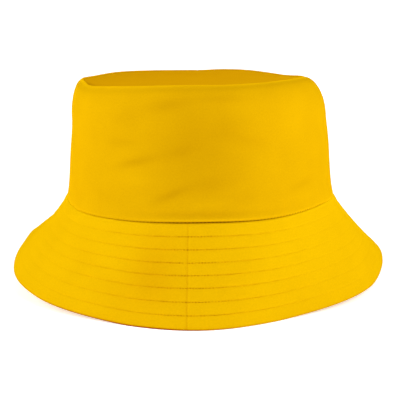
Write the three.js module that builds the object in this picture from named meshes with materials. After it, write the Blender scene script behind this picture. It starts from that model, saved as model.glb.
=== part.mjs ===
// A soft cotton bucket hat: an oval crown of a side wall and a sunken top panel, and a wide sloped
// brim of two cloth layers whose inner edges turn up inside the crown's hem.
// Millimetres, +Z up, the front of the hat towards -Y. It stands on the front and back of its brim.
import * as THREE from "three";

// Head opening, inside all the cloth
const HEAD_GIRTH = 578;
const HEAD_OVAL = 1.047; // depth over width

// Cloth
const CROWN_CLOTH = 1.2;
const TIP_CLOTH = 1.2;
const BRIM_CLOTH = 1.2;
const SEAM_GAP = 0.3;

// Crown
const CROWN_HEIGHT = 84.5;
const CROWN_TAPER = 4.5;
const SHOULDER_HEIGHT = 28;
const SHOULDER_INSET = 11;
const HEM_HEIGHT = 2.4;
const HEM_RAISE = 0.3;
const HEM_FADE = 2; // height over which the raised hem runs out above
const DENT_DEPTH = 2;
const TIP_SINK = 5;
const RIM_SINK = 0.4; // the top panel's rim lies this much under the ridge of the side wall
const TIP_FLATNESS = 5; // the higher, the wider the flat middle of the top panel
const DENT_HOLD = 0.7; // the lower, the nearer dents come to the ridge and the hem

// Brim
const BRIM_DROP = 62; // from the crown's seam down to the surface that the hat stands on
const BRIM_SPREAD = 40; // outward reach of the brim's edge from the seam, as a measure
const COLLAR_HEIGHT = 8; // of the brim's inner edge, turned up inside the crown's hem
const EDGE_EASE = 0.1; // share of BRIM_DROP over which the edge comes off the surface
const JOIN_ANGLE = -5; // where the brim's two ends are sewn together
const JOIN_WIDTH = 1.6;
const JOIN_DEPTH = 0.25;

// Steps of the mesh
const SIDES = 64;
const BRIM_STEPS = 6;
const WALL_STEPS = 8;
const SHOULDER_STEPS = 6;
const TIP_STEPS = 6;
const COLLAR_STEPS = 2; // steps of the brim's profile before its slope begins
const RIM_CROWDING = 1.4; // draws the top panel's rings together at its rim

// Angles run from the front (0) over the right side (90) and the back (180) to the left side (270).
// spread: outward reach, share of BRIM_SPREAD.
// lift: height of the edge, share of BRIM_DROP; where it is under 0 the edge lies pressed flat.
// hollow: how far the slope sags from a straight line, share of BRIM_SPREAD.
// rise: how far the crown's seam is above its mean height, share of BRIM_DROP.
const BRIM_SECTIONS = [
  { angle: 0, spread: 0.6, lift: -0.13, hollow: 0, rise: 0.006 },
  { angle: 30, spread: 0.475, lift: 0.04, hollow: 0, rise: -0.008 },
  { angle: 60, spread: 0.745, lift: 0.127, hollow: 0, rise: 0.015 },
  { angle: 75, spread: 0.805, lift: 0.123, hollow: 0, rise: 0.01 },
  { angle: 90, spread: 0.96, lift: 0.2, hollow: 0.005, rise: -0.005 },
  { angle: 105, spread: 1.13, lift: 0.25, hollow: 0.03, rise: -0.012 },
  { angle: 120, spread: 1.19, lift: 0.3, hollow: 0.03, rise: -0.008 },
  { angle: 150, spread: 0.76, lift: 0.1, hollow: 0, rise: 0 },
  { angle: 180, spread: 0.55, lift: -0.04, hollow: 0, rise: 0 },
  { angle: 210, spread: 1.13, lift: 0.28, hollow: 0, rise: 0 },
  { angle: 240, spread: 1.33, lift: 0.445, hollow: 0.02, rise: 0.015 },
  { angle: 255, spread: 1.195, lift: 0.355, hollow: 0.045, rise: 0.032 },
  { angle: 270, spread: 1.08, lift: 0.27, hollow: 0.035, rise: 0.06 },
  { angle: 285, spread: 0.975, lift: 0.214, hollow: 0.01, rise: 0.032 },
  { angle: 300, spread: 0.81, lift: 0.145, hollow: 0, rise: 0 },
  { angle: 330, spread: 0.55, lift: 0.05, hollow: 0, rise: 0 },
];

// inset: how far the ridge lies inside the top of the wall, share of SHOULDER_INSET.
// rise: height of the ridge above its mean, share of CROWN_HEIGHT.
const RIDGE_SECTIONS = [
  { angle: 0, inset: 0.98, rise: 0.011 },
  { angle: 45, inset: 1.27, rise: 0.005 },
  { angle: 90, inset: 1.46, rise: -0.021 },
  { angle: 120, inset: 1.32, rise: -0.042 },
  { angle: 135, inset: 1.24, rise: -0.031 },
  { angle: 150, inset: 1.13, rise: -0.015 },
  { angle: 165, inset: 1.03, rise: -0.01 },
  { angle: 180, inset: 0.92, rise: -0.016 },
  { angle: 225, inset: 0.69, rise: 0.002 },
  { angle: 270, inset: 0.81, rise: 0.003 },
  { angle: 315, inset: 0.74, rise: -0.009 },
];

// Soft dents (depth over 0) and swells (under 0) in the side wall.
// up: height over the seam, share of CROWN_HEIGHT. depth: share of DENT_DEPTH.
// wide: half-width in degrees. tall: half-height, share of CROWN_HEIGHT.
const DENTS = [
  { angle: -22, up: 0.76, depth: 0.5, wide: 16, tall: 0.1 },
  { angle: 14, up: 0.8, depth: 0.6, wide: 20, tall: 0.07 },
  { angle: -12, up: 0.5, depth: 0.8, wide: 20, tall: 0.16 },
  { angle: -38, up: 0.4, depth: 0.5, wide: 12, tall: 0.14 },
  { angle: 32, up: 0.53, depth: 0.6, wide: 16, tall: 0.16 },
  { angle: -16, up: 0.16, depth: 0.6, wide: 18, tall: 0.08 },
  { angle: 60, up: 0.2, depth: 0.6, wide: 12, tall: 0.08 },
  { angle: 130, up: 0.45, depth: 0.9, wide: 20, tall: 0.16 },
  { angle: 178, up: 0.6, depth: 0.7, wide: 24, tall: 0.14 },
  { angle: 232, up: 0.4, depth: 0.8, wide: 18, tall: 0.18 },
  { angle: 5, up: 0.3, depth: -0.4, wide: 18, tall: 0.12 },
  { angle: 92, up: 0.45, depth: -0.35, wide: 24, tall: 0.18 },
  { angle: 268, up: 0.56, depth: 0.25, wide: 22, tall: 0.13 },
];

// Sizes worked out from those above
const headHalfWidth = HEAD_GIRTH / (2 * Math.PI) / Math.sqrt((1 + HEAD_OVAL ** 2) / 2);
const layersInside = 2 * BRIM_CLOTH + 2 * SEAM_GAP + CROWN_CLOTH;
const seamHalfWidth = headHalfWidth + layersInside;
const seamHalfDepth = headHalfWidth * HEAD_OVAL + layersInside;

// One column of a table of sections at any angle: a smooth curve through the rows, all round.
function sectionValue(table, column, angle) {
  const count = table.length;
  const row = (i) => table[((i % count) + count) % count];
  const at = (i) => row(i).angle + 360 * Math.floor(i / count);
  const tangent = (i) => (row(i + 1)[column] - row(i - 1)[column]) / (at(i + 1) - at(i - 1));
  const turn = THREE.MathUtils.euclideanModulo(angle - at(0), 360) + at(0);
  let i = 0;
  while (at(i + 1) <= turn) i += 1;
  const span = at(i + 1) - at(i);
  const t = (turn - at(i)) / span;
  return (
    (1 + 2 * t) * (1 - t) ** 2 * row(i)[column] +
    t * (1 - t) ** 2 * span * tangent(i) +
    t * t * (3 - 2 * t) * row(i + 1)[column] +
    t * t * (t - 1) * span * tangent(i + 1)
  );
}

const seamHeight = (angle) => BRIM_DROP * (1 + sectionValue(BRIM_SECTIONS, "rise", angle));
const ridgeHeight = (angle) =>
  BRIM_DROP + CROWN_HEIGHT * (1 + sectionValue(RIDGE_SECTIONS, "rise", angle));
const ridgeInset = (angle) =>
  CROWN_TAPER + SHOULDER_INSET * sectionValue(RIDGE_SECTIONS, "inset", angle);

// The edge lies on the surface where its lift is under 0, and comes off it in a soft curve.
function edgeHeight(angle) {
  const lift = Math.max(0, sectionValue(BRIM_SECTIONS, "lift", angle));
  const eased = lift < EDGE_EASE ? lift ** 2 / (2 * EDGE_EASE) : lift - EDGE_EASE / 2;
  return BRIM_DROP * eased;
}

// A point of the hat: outward from the oval of the crown's seam, at a height.
function hatPoint(angle, outward, height) {
  const turn = THREE.MathUtils.degToRad(angle);
  const side = Math.sin(turn);
  const front = -Math.cos(turn);
  const normal = new THREE.Vector3(side / seamHalfWidth, front / seamHalfDepth, 0).normalize();
  return new THREE.Vector3(side * seamHalfWidth, front * seamHalfDepth, 0)
    .addScaledVector(normal, outward)
    .setZ(height);
}

// The depth of the dents at a place of the side wall.
function dentDepth(angle, up) {
  let depth = 0;
  for (const dent of DENTS) {
    const across = THREE.MathUtils.euclideanModulo(angle - dent.angle + 180, 360) - 180;
    const along = (up - dent.up) / dent.tall;
    depth += dent.depth * Math.exp(-((across / dent.wide) ** 2) - along ** 2);
  }
  return DENT_DEPTH * depth;
}

// Profiles are lists of Vector2: x outward from the seam's oval, y the height.
// The same path moved inward by a wall, square to it, with both ends cut level or upright.
function insidePath(path, wall, endCuts) {
  return path.map((point, i) => {
    const before = point.clone().sub(path[Math.max(i - 1, 0)]).normalize();
    const after = path[Math.min(i + 1, path.length - 1)].clone().sub(point).normalize();
    const tangent = before.clone().add(after).normalize();
    const inward = new THREE.Vector2(-tangent.y, tangent.x);
    if (i > 0 && i < path.length - 1) {
      const half = Math.sqrt((1 + before.dot(after)) / 2);
      return point.clone().addScaledVector(inward, wall / half);
    }
    const cut = endCuts[i === 0 ? 0 : 1];
    return point.clone().addScaledVector(cut, wall / cut.dot(inward));
  });
}

const LEVEL_CUT = new THREE.Vector2(-1, 0);
const UPRIGHT_CUT = new THREE.Vector2(0, -1);

// The side wall's outer face, from the seam up over the shoulder to the ridge.
function wallPath(angle) {
  const low = seamHeight(angle);
  const top = ridgeHeight(angle);
  const wallTop = top - SHOULDER_HEIGHT;
  const inset = ridgeInset(angle) - CROWN_TAPER;
  const path = [];
  for (let i = 0; i <= WALL_STEPS; i += 1) {
    const t = i / WALL_STEPS;
    path.push(new THREE.Vector2(-CROWN_TAPER * t, low + (wallTop - low) * t));
  }
  for (let i = 1; i <= SHOULDER_STEPS; i += 1) {
    const turn = ((Math.PI / 2) * i) / SHOULDER_STEPS;
    const outward = -CROWN_TAPER - inset * (1 - Math.cos(turn));
    path.push(new THREE.Vector2(outward, wallTop + SHOULDER_HEIGHT * Math.sin(turn)));
  }
  return path;
}

// Dents sink the middle of the wall and leave it as it is at the ridge and along the collar.
function dentedWallPath(angle) {
  const low = seamHeight(angle);
  const top = ridgeHeight(angle);
  const free = low + COLLAR_HEIGHT;
  return wallPath(angle).map((point) => {
    const share = THREE.MathUtils.clamp((point.y - free) / (top - free), 0, 1);
    const hold = Math.sin(Math.PI * share) ** DENT_HOLD;
    const depth = dentDepth(angle, (point.y - low) / (top - low));
    return new THREE.Vector2(point.x - hold * depth, point.y);
  });
}

// The raised hem along the seam, folded up and stitched down.
function withHem(path) {
  const seam = path[0];
  const slant = new THREE.Vector2().subVectors(path[1], seam).normalize();
  const at = (along, raise) =>
    new THREE.Vector2(seam.x + slant.x * along + raise, seam.y + slant.y * along);
  const hem = [at(0, HEM_RAISE), at(HEM_HEIGHT, HEM_RAISE), at(HEM_HEIGHT + HEM_FADE, 0)];
  return hem.concat(path.slice(1));
}

function crownSideProfile(angle) {
  const path = dentedWallPath(angle);
  const inside = insidePath(path, CROWN_CLOTH, [LEVEL_CUT, UPRIGHT_CUT]);
  return { first: withHem(path), second: inside };
}

// The brim's upper face: down the collar inside the hem, out under the hem, and down the slope.
function brimPath(angle) {
  const seam = seamHeight(angle);
  const start = new THREE.Vector2(0, seam - SEAM_GAP);
  const reach = BRIM_SPREAD * sectionValue(BRIM_SECTIONS, "spread", angle);
  const edge = new THREE.Vector2(reach, edgeHeight(angle));
  const sag = BRIM_SPREAD * sectionValue(BRIM_SECTIONS, "hollow", angle);
  const slope = edge.clone().sub(start).normalize();
  const inward = new THREE.Vector2(slope.y, -slope.x);
  const collarFoot = -CROWN_CLOTH - SEAM_GAP;
  const wallLean = CROWN_TAPER / (ridgeHeight(angle) - SHOULDER_HEIGHT - seam);
  const path = [
    new THREE.Vector2(collarFoot - wallLean * COLLAR_HEIGHT, seam + COLLAR_HEIGHT),
    new THREE.Vector2(collarFoot, seam - SEAM_GAP),
  ];
  for (let i = 0; i <= BRIM_STEPS; i += 1) {
    const t = i / BRIM_STEPS;
    path.push(start.clone().lerp(edge, t).addScaledVector(inward, sag * 4 * t * (1 - t)));
  }
  return path;
}

// The brim's face at a depth of cloth, with the edge cut level, as it stands.
const brimFace = (angle, depth) =>
  insidePath(brimPath(angle), -depth, [LEVEL_CUT, LEVEL_CUT]);

// The sewn ends of a brim layer sink a little into it along one line.
function sinkJoin(angle, face, towards) {
  if (angle !== JOIN_ANGLE) return face;
  const share = JOIN_DEPTH / BRIM_CLOTH;
  return face.map((point, i) => (i <= COLLAR_STEPS ? point : point.clone().lerp(towards[i], share)));
}

function brimTopProfile(angle) {
  const upper = brimPath(angle);
  const lower = brimFace(angle, BRIM_CLOTH);
  const sunk = sinkJoin(angle, upper, lower);
  return { first: lower, second: sunk };
}

function brimUnderProfile(angle) {
  const upper = brimFace(angle, BRIM_CLOTH + SEAM_GAP);
  const lower = brimFace(angle, 2 * BRIM_CLOTH + SEAM_GAP);
  const sunk = sinkJoin(angle, lower, upper);
  return { first: sunk, second: upper };
}

// The angles of the mesh, with a narrow pair beside the brim's join.
function meshAngles() {
  const joinHalf = THREE.MathUtils.radToDeg(JOIN_WIDTH / 2 / (seamHalfDepth + BRIM_SPREAD / 2));
  const angles = [JOIN_ANGLE, JOIN_ANGLE + joinHalf];
  for (let i = 1; i < SIDES; i += 1) angles.push(JOIN_ANGLE + (360 * i) / SIDES);
  angles.push(JOIN_ANGLE + 360 - joinHalf);
  return angles;
}

function meshGeometry(points, faces) {
  const geometry = new THREE.BufferGeometry().setFromPoints(points);
  geometry.setIndex(faces);
  geometry.computeVertexNormals();
  return geometry;
}

// Two faces of a cloth, carried all round the hat and closed at both ends. Both are listed from the
// same end and cut into triangles the same way, so neighbouring cloths keep their gap.
function ringGeometry(profileAt) {
  const points = [];
  const faces = [];
  const angles = meshAngles();
  let size = 0;
  let turn = 0;
  for (const angle of angles) {
    const { first, second } = profileAt(angle);
    const profile = first.concat(second.reverse());
    size = profile.length;
    turn = first.length;
    for (const point of profile) points.push(hatPoint(angle, point.x, point.y));
  }
  for (let i = 0; i < angles.length; i += 1) {
    const here = i * size;
    const next = ((i + 1) % angles.length) * size;
    for (let j = 0; j < size; j += 1) {
      const k = (j + 1) % size;
      if (j < turn) faces.push(here + j, next + j, next + k, here + j, next + k, here + k);
      else faces.push(here + j, next + j, here + k, next + j, next + k, here + k);
    }
  }
  return meshGeometry(points, faces);
}

// The top panel: its rim meets the ridge and its middle lies sunk.
function tipGeometry() {
  const points = [];
  const faces = [];
  const angles = meshAngles();
  const middle = BRIM_DROP + CROWN_HEIGHT - TIP_SINK;
  const sheet = (below) => {
    const first = points.length;
    for (let i = 0; i < TIP_STEPS; i += 1) {
      const share = 1 - (i / TIP_STEPS) ** RIM_CROWDING;
      for (const angle of angles) {
        const rim = ridgeHeight(angle) - RIM_SINK;
        const point = hatPoint(angle, -ridgeInset(angle) - SEAM_GAP, 0).multiplyScalar(share);
        points.push(point.setZ(middle + (rim - middle) * share ** TIP_FLATNESS - below));
      }
    }
    points.push(new THREE.Vector3(0, 0, middle - below));
    return first;
  };
  const top = sheet(0);
  const under = sheet(TIP_CLOTH);
  const count = angles.length;
  const band = (outer, inner, j, k) =>
    faces.push(outer + j, outer + k, inner + k, outer + j, inner + k, inner + j);
  for (let j = 0; j < count; j += 1) {
    const k = (j + 1) % count;
    for (let i = 0; i < TIP_STEPS - 1; i += 1) {
      band(top + i * count, top + (i + 1) * count, j, k);
      band(under + i * count, under + (i + 1) * count, k, j);
    }
    const last = (TIP_STEPS - 1) * count;
    faces.push(top + last + j, top + last + k, top + last + count);
    faces.push(under + last + k, under + last + j, under + last + count);
    band(under, top, j, k);
  }
  return meshGeometry(points, faces);
}

function clothPiece(name, geometry, color) {
  const material = new THREE.MeshStandardMaterial({ color, roughness: 0.85, metalness: 0 });
  const mesh = new THREE.Mesh(geometry, material);
  mesh.name = name;
  return mesh;
}

const hat = new THREE.Group();
hat.add(
  clothPiece("crown_tip", tipGeometry(), 0xd89a06),
  clothPiece("crown_side", ringGeometry(crownSideProfile), 0xf0b104),
  clothPiece("brim_top", ringGeometry(brimTopProfile), 0xf3b805),
  clothPiece("brim_under", ringGeometry(brimUnderProfile), 0xe3a505),
);

// The middle of the whole hat, seen from above, is the part's origin.
const middle = new THREE.Box3().setFromObject(hat).getCenter(new THREE.Vector3());
for (const piece of hat.children) piece.position.set(-middle.x, -middle.y, 0);

export default hat;
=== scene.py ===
import math

import bpy
import numpy as np
from mathutils import Matrix, Vector


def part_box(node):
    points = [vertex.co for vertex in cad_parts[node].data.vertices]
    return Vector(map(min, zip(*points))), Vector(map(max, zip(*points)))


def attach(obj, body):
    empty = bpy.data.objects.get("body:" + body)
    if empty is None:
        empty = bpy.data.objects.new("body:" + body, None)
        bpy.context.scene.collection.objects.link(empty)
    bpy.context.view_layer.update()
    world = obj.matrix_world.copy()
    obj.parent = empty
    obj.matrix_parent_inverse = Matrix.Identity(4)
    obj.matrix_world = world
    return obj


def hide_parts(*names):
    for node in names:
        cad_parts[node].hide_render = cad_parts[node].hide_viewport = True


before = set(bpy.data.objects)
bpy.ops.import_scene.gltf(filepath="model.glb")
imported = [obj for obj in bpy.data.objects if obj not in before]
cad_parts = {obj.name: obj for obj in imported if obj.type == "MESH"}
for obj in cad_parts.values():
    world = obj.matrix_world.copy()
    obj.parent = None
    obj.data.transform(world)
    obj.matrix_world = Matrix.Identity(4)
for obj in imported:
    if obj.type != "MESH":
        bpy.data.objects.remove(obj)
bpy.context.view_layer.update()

# Sizes are in millimetres, and become metres where a mesh is made.
MM = 0.001

# The head the hat fits: the girth of the hollow, and how much deeper than wide it is.
HEAD_GIRTH = 578
HEAD_OVAL = 1.047

# Cloth, and the gap kept where two pieces meet.
CLOTH = 1.2
SEAM_GAP = 0.3

# How far the crown's lower edge comes down into that gap where the seam hardly shows.
SEAM_TUCK = 0.25

# Crown. The wall is straight for WALL_SHARE of the way up, and then turns in over the shoulder.
# WALL_LENGTH is about how long it is from the seam to the ridge.
CROWN_HEIGHT = 84.5
CROWN_TAPER = 4.5
WALL_SHARE = 0.62
SHOULDER_HEIGHT = 28
SHOULDER_INSET = 11
WALL_LENGTH = 90
DENT_DEPTH = 2
DENT_HOLD = 0.7

# Top panel: how far its middle and its rim lie below the ridge, the gap at its rim, and how far
# its face stays flat towards the rim.
TIP_SINK = 5
RIM_SINK = 0.4
RIM_GAP = 0.03
TIP_FLATNESS = 5

# Bands along the top panel's rim, as millimetres from it, millimetres wide, and height or painted shade.
TIP_RIPPLE = (5, 5, 0.132)
TIP_RIM_SHADE = (0, 1, 0.3)
# Painted shade on the panel's rounded rim, in the gap to the wall.
RIM_SHADE = 0.9
# Painted light towards the panel's right, where the lamps fall more.
TIP_LIGHTER_AT_RIGHT = 0.14

# The pucker at the left of the top panel's rim, with painted shade in it.
PUCKER_ANGLE = -68
PUCKER_WIDTH = 7
PUCKER_RELIEF = (1, 3, -0.8)
PUCKER_SHADE = (1, 3, 0.5)

# Brim. The edge comes off the floor over the first EDGE_EASE of its lift.
BRIM_DROP = 62
BRIM_SPREAD = 40
COLLAR_HEIGHT = 8
EDGE_EASE = 0.1
EDGE_SHADE_WIDTH = 0.8
LEAST_HEIGHT = 0.02

# The brim's front join: a groove with painted shade in it, and a painted highlight along its right side.
JOIN_ANGLE = -5
JOIN_WIDTH = 1.1
JOIN_DEPTH = 0.15
JOIN_SHADE = 0.22
JOIN_SHADE_AT_EDGE = 0.42
BESIDE_JOIN_SHADE = (1.4, 0.6, -0.12)

# The soft flare where the crown's wall meets the brim at the sides.
FLARE = 0.8
FLARE_HEIGHT = 6

# Bands along the crown's seam below and its ridge above, each as millimetres from that line,
# millimetres wide, and how far the cloth stands proud. The hem's fold shows for HEM_REACH degrees
# each side of HEM_ANGLE, and its lower edge is rounded by HEM_ROUNDNESS.
HEM_ANGLE = 1
HEM_REACH = 26
HEM_FOLD = (1.2, 1.0, 0.5)
HEM_FOLD_ELSEWHERE = 0.1
HEM_ROUNDNESS = 0.3
HEM_DIP = (4.8, 1.9, -0.5)
HEM_DIP_UNEVEN = 0.4
HEM_SWELL = (10, 6, 0.18)
SEAM_SINK = (0, 0.4, -0.25)
RIDGE_LIP = (0.3, 0.5, 0.22)
RIDGE_DIP = (2.4, 0.9, -0.12)
RIDGE_SWELL = (6, 4, 0.14)

# Bands of painted shade along the same lines, in the same order, and of painted highlight on the hem's fold and
# the ridge's lip. A shade above 0 is darker and one below 0 lighter.
HEM_FOLD_SHADE = (1.3, 0.7, -0.5)
HEM_DIP_SHADE = (4.6, 1.8, 0.25)
RIDGE_DIP_SHADE = (5, 1.5, 0.15)
RIDGE_LIP_SHADE = (0.3, 1.8, -0.65)

# At the hat's sides both cloths carry painted light along the seam, lightening the shade of its crease so that
# it fades out.
SIDE_SHADE = (0, 0.9, -0.5)
SIDE_WALL_SHADE = (0, 7, -0.25)
SIDE_BRIM_SHADE = (0, 1, -0.5)
SIDE_FOLD_SHADE = -1

# The dark line of the seam is painted shadow in the crease between crown and brim. It breaks up into single dark
# stitches around DOTS_ANGLE, with painted light between and beside them.
SEAM_LINE_WIDTH = 0.35
SEAM_LINE_SHADE = 1.3
SEAM_FOLD_SHADE = 1.5
DOTS_ANGLE = 46
DOTS_REACH = 17
DOT_WIDTH = 0.6
DOT_SHADE = 1.7
BETWEEN_DOTS_SHADE = -1
WALL_AT_DOTS_SHADE = (0.3, 0.8, -0.3)
BRIM_AT_DOTS_SHADE = (0, 0.8, -0.3)

# The crown's back seam, in degrees wide.
BACK_SEAM_WIDTH = 0.5
BACK_SEAM_DEPTH = 0.3
BACK_SEAM_SHADE = 0.35

# Stitch rows on the brim, as shares down the slope, their grooves with painted shade in them, and the quilted
# cloth between them.
# The shifts are degrees that the unevenness of one row is set off from that of the row above.
ROWS = np.array([0.1275, 0.2505, 0.374, 0.492, 0.61, 0.738, 0.8624])
GROOVE_DEPTH = 0.22
GROOVE_WIDTH = 0.38
GROOVE_SHADE = 0.34
GROOVE_UNEVEN = 0.45
GROOVE_SHIFT = 7
QUILT_RISE = 0.16
QUILT_ROUNDNESS = 0.8
ROW_PUCKER = 0.16
ROW_PUCKER_WIDTH = 3.2
ROW_PUCKER_SHIFT = 11
UNDER_STRENGTH = 0.8

# Threads. A stitch's length is a share of its pitch, its lift is how far its middle stands over the groove
# or the seam, and its drop how far its ends go down, in thread radii.
THREAD_SIDES = 6
THREAD_RADIUS = 0.16
STITCH_DROP = 2.2
STITCH_PITCH = 2.2
STITCH_LENGTH = 0.78
STITCH_LIFT = 0.08
STITCH_SHADE_AT_JOIN = 0.3
SEAM_STITCHES = 240
SEAM_THREAD_RADIUS = 0.22
SEAM_STITCH_LENGTH = 0.5
SEAM_STITCH_LIFT = 0.05
SEAM_STITCH_HEIGHT = 0.1
SEAM_STITCH_SINK = 0.2

# Painted shade in the needle holes shows for HOLE_REACH degrees each side of HOLES_ANGLE. The shifts set each
# row's holes, and their uneven darkness, off from the row above.
HOLES_ANGLE = JOIN_ANGLE + 2
HOLE_REACH = 11
HOLE_PITCH = 2.1
HOLE_SHIFT = 2
HOLE_WIDTH = 0.4
HOLE_SHADE = 1.3
HOLE_UNEVEN = 0.4
UNEVEN_PITCH = 6.9813
UNEVEN_SHIFT = 3

# Mesh fineness: angles round the hat for each piece, and the closer ones of the brim near its join.
CROWN_ANGLES = 720
BRIM_ANGLES = 720
UNDER_ANGLES = 600
TIP_ANGLES = 480
CLOSE_REACH = 16
CLOSE_STEP = 0.16
CAP_STEPS = 4
EDGE_STEPS = 5

# Angle 0 is the front, 90 the right-hand side, 180 the back and 270 the left-hand side.
# spread is a share of BRIM_SPREAD, lift a share of BRIM_DROP (below 0 the edge is pressed flat on the floor),
# hollow a share of BRIM_SPREAD, and rise a share of BRIM_DROP.
BRIM_SECTIONS = np.array([
    # angle, spread, lift, hollow, rise
    [0, 0.6, -0.13, 0, 0.006],
    [30, 0.475, 0.04, 0, -0.008],
    [60, 0.745, 0.127, 0, 0.015],
    [75, 0.805, 0.123, 0, 0.01],
    [90, 0.96, 0.2, 0.005, -0.005],
    [105, 1.13, 0.25, 0.03, -0.012],
    [120, 1.19, 0.3, 0.03, -0.008],
    [150, 0.76, 0.1, 0, 0],
    [180, 0.55, -0.04, 0, 0],
    [210, 1.13, 0.28, 0, 0],
    [240, 1.33, 0.445, 0.02, 0.015],
    [255, 1.195, 0.355, 0.045, 0.032],
    [270, 1.08, 0.27, 0.035, 0.06],
    [285, 0.975, 0.214, 0.01, 0.032],
    [300, 0.81, 0.145, 0, 0],
    [330, 0.55, 0.05, 0, 0],
])
SPREAD, LIFT, HOLLOW, RISE = 1, 2, 3, 4

# How plainly the stitch rows show round the brim, as a share of their full depth and of their painted shade.
ROW_SECTIONS = np.array([
    # angle, show
    [0, 1.0],
    [15, 0.85],
    [30, 0.5],
    [45, 0.2],
    [90, 0.15],
    [130, 0.5],
    [180, 0.8],
    [230, 0.5],
    [270, 0.15],
    [300, 0.2],
    [315, 0.5],
    [330, 0.8],
    [345, 0.95],
])
SHOW = 1

# How plainly the dark line of the seam between crown and brim shows.
SEAM_SECTIONS = np.array([
    # angle, show
    [0, 1.0],
    [8, 0.9],
    [17, 0.65],
    [27, 0.6],
    [57, 0.75],
    [63, 0.05],
    [90, 0],
    [130, 0.3],
    [180, 0.6],
    [230, 0.3],
    [270, 0],
    [295, 0.02],
    [303, 0.15],
    [328, 0.25],
    [340, 0.6],
    [350, 0.9],
])

# How dark the painted shadow along the brim's lower edge is.
EDGE_SECTIONS = np.array([
    # angle, show
    [0, 1.5],
    [12, 0.8],
    [24, 0.5],
    [45, 0.4],
    [90, 0.3],
    [180, 0.5],
    [270, 0.3],
    [298, 0.6],
    [312, 1.1],
    [330, 1.7],
    [345, 2.4],
])

# inset is a share of SHOULDER_INSET, rise a share of CROWN_HEIGHT.
RIDGE_SECTIONS = np.array([
    # angle, inset, rise
    [0, 0.98, 0],
    [12, 1.04, -0.005],
    [30, 1.17, -0.006],
    [45, 1.27, -0.004],
    [60, 1.35, -0.004],
    [90, 1.46, -0.021],
    [120, 1.32, -0.042],
    [135, 1.24, -0.031],
    [150, 1.13, -0.015],
    [165, 1.03, -0.01],
    [180, 0.92, -0.016],
    [225, 0.69, 0.002],
    [249, 0.75, -0.006],
    [262, 0.79, -0.001],
    [270, 0.81, 0.003],
    [282, 0.79, 0.001],
    [288, 0.79, -0.004],
    [294, 0.78, -0.023],
    [303, 0.76, -0.025],
    [315, 0.74, -0.016],
    [330, 0.79, -0.007],
    [345, 0.88, 0],
])
INSET, RIDGE_RISE = 1, 2

# Soft dents of the crown: up and tall are shares of CROWN_HEIGHT, depth of DENT_DEPTH, wide in degrees.
DENTS = np.array([
    # angle, up, depth, wide, tall
    [-22, 0.76, 0.5, 16, 0.1],
    [14, 0.8, 0.6, 20, 0.07],
    [-12, 0.5, 0.8, 20, 0.16],
    [-38, 0.4, 0.5, 12, 0.14],
    [32, 0.53, 0.6, 16, 0.16],
    [-16, 0.16, 0.6, 18, 0.08],
    [60, 0.2, 0.6, 12, 0.08],
    [130, 0.45, 0.9, 20, 0.16],
    [178, 0.6, 0.7, 24, 0.14],
    [232, 0.4, 0.8, 18, 0.18],
    [5, 0.3, -0.4, 18, 0.12],
    [92, 0.45, -0.35, 24, 0.18],
    [268, 0.56, 0.25, 22, 0.13],
])

# Small creases of the crown that are too fine for the solid, in the same columns.
CREASES = np.array([
    # angle, up, depth, wide, tall
    [-26, 0.39, 0.4, 10, 0.045],
    [-14, 0.43, 0.3, 7, 0.04],
    [-13, 0.17, 0.45, 9, 0.045],
    [-27, 0.58, 0.25, 8, 0.04],
    [-33, 0.14, 0.25, 7, 0.04],
    [25, 0.55, 0.3, 8, 0.05],
    [47, 0.18, 0.35, 9, 0.045],
    [10, 0.84, 0.3, 14, 0.035],
    [110, 0.3, 0.4, 10, 0.05],
    [150, 0.2, 0.4, 12, 0.05],
    [205, 0.62, 0.4, 12, 0.05],
    [250, 0.25, 0.4, 10, 0.05],
])

# Painted shade and painted light on the crown and the brim, standing in for the soft shading of dents and
# creases and of the studio light. up, down and tall are shares of CROWN_HEIGHT or of the brim's slope, wide is
# in degrees, lean is how much of that share a patch moves up with each degree to the right, and a shade above 0
# is darker.
CROWN_PAINTED_SHADE = np.array([
    # angle, up, shade, wide, tall, lean
    [0, 0.55, 0.32, 20, 0.42, 0],
    [-13, 0.86, 0.28, 8, 0.045, 0.002],
    [11, 0.9, 0.18, 10, 0.03, 0],
    [-32, 0.77, 0.1, 8, 0.06, 0.002],
    [13, 0.68, 0.12, 8, 0.08, 0],
    [21, 0.585, 0.15, 8, 0.05, -0.003],
    [-8, 0.52, 0.18, 6, 0.05, 0.004],
    [-34, 0.58, 0.15, 7, 0.035, 0],
    [-27, 0.44, 0.34, 9, 0.033, 0.004],
    [5, 0.28, 0.18, 8, 0.06, 0.002],
    [-12, 0.2, 0.36, 7, 0.034, 0.0074],
    [17, 0.17, 0.14, 6, 0.05, 0],
    [-42, 0.17, 0.1, 7, 0.05, -0.004],
    [46, 0.21, 0.18, 8, 0.035, 0.002],
    [-28, 0.31, -0.12, 7, 0.05, 0],
    [2, 0.13, -0.16, 8, 0.03, 0.002],
    [48, 0.12, -0.1, 8, 0.035, 0],
    [-54, 0.83, -0.1, 10, 0.08, 0],
    [44, 0.72, -0.12, 9, 0.13, 0],
    [112, 0.4, 0.15, 12, 0.2, 0.002],
    [165, 0.5, 0.2, 16, 0.3, 0],
    [215, 0.55, 0.15, 12, 0.2, -0.002],
])
BRIM_PAINTED_SHADE = np.array([
    # angle, down, shade, wide, tall, lean
    [-17, 0.5, 0.36, 10, 0.38, 0],
    [-4, 0.15, 0.1, 14, 0.2, 0],
    [8, 0.55, 0.07, 10, 0.25, 0],
    [-30, 0.7, 0.1, 8, 0.2, 0],
    [-46, 0.45, 0.1, 6, 0.12, 0],
    [38, 0.35, -0.08, 14, 0.3, 0],
    [150, 0.5, 0.15, 14, 0.4, 0],
    [222, 0.6, 0.15, 14, 0.4, 0],
])

# Gentle unevenness of sewn cloth, as waves round the hat: how many, how strong, and where each starts.
WAVES = np.array([
    # count, share, start
    [23, 0.30, 0.4],
    [37, 0.26, 2.1],
    [58, 0.22, 4.6],
    [91, 0.22, 1.3],
])


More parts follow.
